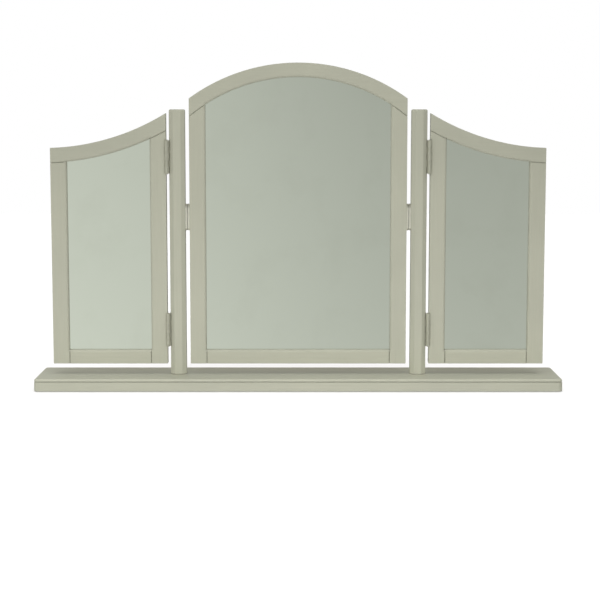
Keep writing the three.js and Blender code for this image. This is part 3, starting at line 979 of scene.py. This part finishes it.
def pivot_pin():
    profile = [(pivot_radius - PIVOT_CHAMFER, pin_low.x), (pivot_radius, pin_low.x + PIVOT_CHAMFER)]
    profile += [(pivot_radius, pin_high.x - PIVOT_CHAMFER), (pivot_radius - PIVOT_CHAMFER, pin_high.x)]
    return along_pivot(turned(profile))


def washer():
    lowest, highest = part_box("right_friction_washer")
    radius = (highest.y - lowest.y) / 2
    disc = rod(radius, lowest.x, highest.x)
    hole = rod(pivot_radius + RUNNING_GAP, lowest.x - SPARE, highest.x + SPARE)
    return along_pivot(carved([disc], [hole]))


post_plate = swivel_plate("right_swivel_post_plate", post_plate_face, -1)
frame_plate = swivel_plate("right_swivel_frame_plate", frame_plate_face, 1)
both_sides("SIDE_swivel_post_plate", post_plate, nickel, "stand")
both_sides("SIDE_swivel_frame_plate", frame_plate, nickel, "centre_mirror")
both_sides("SIDE_pivot_pin", pivot_pin(), steel, "centre_mirror")
both_sides("SIDE_friction_washer", washer(), plastic, "centre_mirror")
for row, z in plate_screw_places.items():
    into_post = moved(screw_body(PLATE_SCREW), facing(post_plate_face, 0, z, LEFT))
    into_frame = moved(screw_body(PLATE_SCREW), facing(frame_plate_face, 0, z, RIGHT))
    both_sides(f"SIDE_swivel_post_screw_{row}", into_post, nickel, "stand")
    both_sides(f"SIDE_swivel_frame_screw_{row}", into_frame, nickel, "centre_mirror")

# Hinges, about their middles: knuckles alternate along the pin, the post's leaf having the first and last

knuckle_length = (2 * hinge_half - (KNUCKLES - 1) * RUNNING_GAP) / KNUCKLES


def leaf(plate_x, first, face_x, outwards):
    """A leaf whose plate starts at plate_x, with every other knuckle from the first on."""
    thickness = (plate_x, plate_x + LEAF_THICKNESS)
    bodies = [block(thickness, (leaf_start, leaf_end), (-hinge_half, hinge_half))]
    axis = Matrix.Translation((hinge_x, hinge_y, 0))
    for i in range(first, KNUCKLES, 2):
        start = i * (knuckle_length + RUNNING_GAP) - hinge_half
        span = (start, start + knuckle_length)
        bodies.append(block(thickness, (hinge_y, leaf_start + LEAF_THICKNESS), span))
        bodies.append(moved(rod(knuckle_radius, *span), axis))
    bore = moved(rod(HINGE_PIN_RADIUS + HINGE_PIN_GAP, -hinge_half - SPARE, hinge_half + SPARE), axis)
    holes = [screw_hole(LEAF_SCREW, placing) for placing in leaf_screw_placings(face_x, 0, outwards)]
    return carved(bodies, [bore, *holes])


def hinge_pin():
    """A pin with a low button at each end."""
    shoulder = hinge_half + RUNNING_GAP
    button = quarter_round(shoulder + PIN_TIP_HEIGHT, PIN_TIP_HEIGHT / 2, 4)
    half = [(HINGE_PIN_RADIUS, shoulder), (pin_tip_radius, shoulder)]
    half += [(pin_tip_radius - inset, height) for height, inset in button]
    profile = [(radius, -height) for radius, height in reversed(half)] + half
    return moved(turned(profile), Matrix.Translation((hinge_x, hinge_y, 0)))


def leaf_screws(face_x, outwards):
    placings = leaf_screw_placings(face_x, 0, outwards)
    return joined([moved(screw_body(LEAF_SCREW), placing) for placing in placings])


hinge_shapes = {
    "hinge_post_leaf": (leaf(post_outer, 0, post_leaf_face, RIGHT), "stand"),
    "hinge_wing_leaf": (leaf(wing_leaf_face, 1, wing_leaf_face, LEFT), "SIDE_wing"),
    "hinge_pin": (hinge_pin(), "stand"),
    "hinge_post_leaf_screws": (leaf_screws(post_leaf_face, RIGHT), "stand"),
    "hinge_wing_leaf_screws": (leaf_screws(wing_leaf_face, LEFT), "SIDE_wing"),
}
for place, z in hinge_middles.items():
    for word, (shape, body) in hinge_shapes.items():
        mesh = moved(shape.copy(), Matrix.Translation((0, 0, z)))
        name = f"SIDE_{place}_{word}"
        both_sides(name, mesh, hinge_nickel, body, is_new=word.endswith("screws"))

# Glass and back panels keep their own mesh

for name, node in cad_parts.items():
    if name.endswith("glass"):
        node.data.materials.clear()
        node.data.materials.append(silvering)
    elif name.endswith("back_panel"):
        node.data.materials.clear()
        node.data.materials.append(hardboard)

# Stage: world, floor, lamps and camera. A glow is its middle, how tight it is and how strong

WHITE = (1.0, 1.0, 1.0)
ROOM_TINT = (0.975, 1.0, 0.92)
GLOWS = {
    "front": ((0, -0.79, 0.61), 4.0, 0.29),
    "above": ((0, -0.2, 0.98), 6.0, 2.75),
    "behind": ((0, 1, 0), 2.0, 1.2),
    "left": ((-1, 0, 0), 2.0, 0.32),
    "right": ((1, 0, 0), 2.0, 0.22),
}
FLOOR_HALF = 6.0
FLOOR_GLOW = 0.24
FOCAL_PIXELS = 1732.3
FRAME_PIXELS = 600
SHIFT_PIXELS = (1.85, 42.6)
CAMERA_PLACE = (0, -3.3154, 0.515)
CAMERA_DIP = math.radians(7.4)


def studio_world():
    """White to the camera, a pale grey-green room to mirrors and metal, and a soft light to the rest."""
    w = Nodes(bpy.data.worlds.new("studio"))
    bpy.context.scene.world = w.owner
    w.tree.nodes.clear()
    direction = w.add("ShaderNodeTexCoord").outputs["Generated"]
    parts = w.add("ShaderNodeSeparateXYZ")
    w.feed(parts.inputs[0], direction)
    path = w.add("ShaderNodeLightPath").outputs

    # The room is lighter on the left and near its floor
    across = w.ranged(parts.outputs["X"], -0.17, 0.13, 0.615, 0.415, smooth=True)
    falling = w.ranged(parts.outputs["Z"], -0.3, 0.12, 0.17, -0.09)
    ceiling = w.ranged(parts.outputs["Z"], 0.12, 0.7, 0.0, -0.2)
    room = w.math("ADD", w.math("ADD", across, falling), ceiling)
    mirrored_room = w.background(ROOM_TINT, room)

    ambient = w.ranged(parts.outputs["Z"], -0.2, 0.2, 0.42, 0.1, smooth=True)
    for middle, focus, strength in GLOWS.values():
        towards = w.math("MAXIMUM", w.dot(direction, middle), 0.0)
        ambient = w.math("ADD", ambient, w.math("MULTIPLY", w.math("POWER", towards, focus), strength))

    soft_light = w.background(WHITE, ambient)
    backdrop = w.background(WHITE, 1.0)
    first_bounce = w.math("LESS_THAN", path["Diffuse Depth"], 0.5)
    is_mirrored = w.math("MULTIPLY", path["Is Glossy Ray"], first_bounce)
    is_straight = w.math("MAXIMUM", path["Is Camera Ray"], path["Is Transmission Ray"])
    shown = soft_light
    for choice, other in ((is_mirrored, mirrored_room), (is_straight, backdrop)):
        mix = w.add("ShaderNodeMixShader")
        w.feed(mix.inputs[0], choice)
        w.tree.links.new(shown, mix.inputs[1])
        w.tree.links.new(other, mix.inputs[2])
        shown = mix.outputs[0]
    w.tree.links.new(shown, w.add("ShaderNodeOutputWorld").inputs["Surface"])


def floor():
    """A matt floor, lifted to white for the camera where no shadow lies on it."""
    points = rectangle(FLOOR_HALF, FLOOR_HALF, 0)
    plane = bpy.data.objects.new("floor", mesh_from("floor", points, [(0, 1, 2, 3)]))
    bpy.context.scene.collection.objects.link(plane)
    n = Nodes(bpy.data.materials.new("pale_floor"))
    n.tree.nodes.clear()
    matt = n.add("ShaderNodeBsdfDiffuse")
    n.feed(matt.inputs["Color"], (0.8, 0.8, 0.8))
    glow = n.add("ShaderNodeEmission")
    to_camera = n.add("ShaderNodeLightPath").outputs["Is Camera Ray"]
    n.feed(glow.inputs["Strength"], n.math("MULTIPLY", to_camera, FLOOR_GLOW))
    both = n.add("ShaderNodeAddShader")
    n.tree.links.new(matt.outputs[0], both.inputs[0])
    n.tree.links.new(glow.outputs[0], both.inputs[1])
    n.tree.links.new(both.outputs[0], n.add("ShaderNodeOutputMaterial").inputs["Surface"])
    plane.data.materials.append(n.owner)
    plane.visible_glossy = False
    plane.visible_diffuse = False


def lamp(name, place, target, size, power):
    light = bpy.data.lights.new(name, "AREA")
    light.shape = "RECTANGLE"
    light.size, light.size_y = size
    light.energy = power
    holder = bpy.data.objects.new(name, light)
    holder.location = place
    holder.rotation_euler = (Vector(target) - Vector(place)).to_track_quat("-Z", "Y").to_euler()
    bpy.context.scene.collection.objects.link(holder)
    holder.visible_glossy = False
    holder.visible_camera = False


def camera():
    lens = bpy.data.cameras.new("camera")
    lens.sensor_width = 36
    lens.lens = FOCAL_PIXELS / FRAME_PIXELS * lens.sensor_width
    lens.shift_x, lens.shift_y = (shift / FRAME_PIXELS for shift in SHIFT_PIXELS)
    holder = bpy.data.objects.new("camera", lens)
    holder.location = CAMERA_PLACE
    holder.rotation_euler = (math.pi / 2 - CAMERA_DIP, 0, 0)
    bpy.context.scene.collection.objects.link(holder)
    bpy.context.scene.camera = holder


studio_world()
floor()
lamp("low_strip", place=(-0.35, -0.75, 0.07), target=(-0.35, 0, 0.07), size=(2.4, 0.12), power=5.6)
lamp("high_strip", place=(0, -0.45, 0.72), target=(0, 0, 0.62), size=(0.4, 0.08), power=0.4)
camera()
bpy.context.scene.view_settings.view_transform = "Standard"
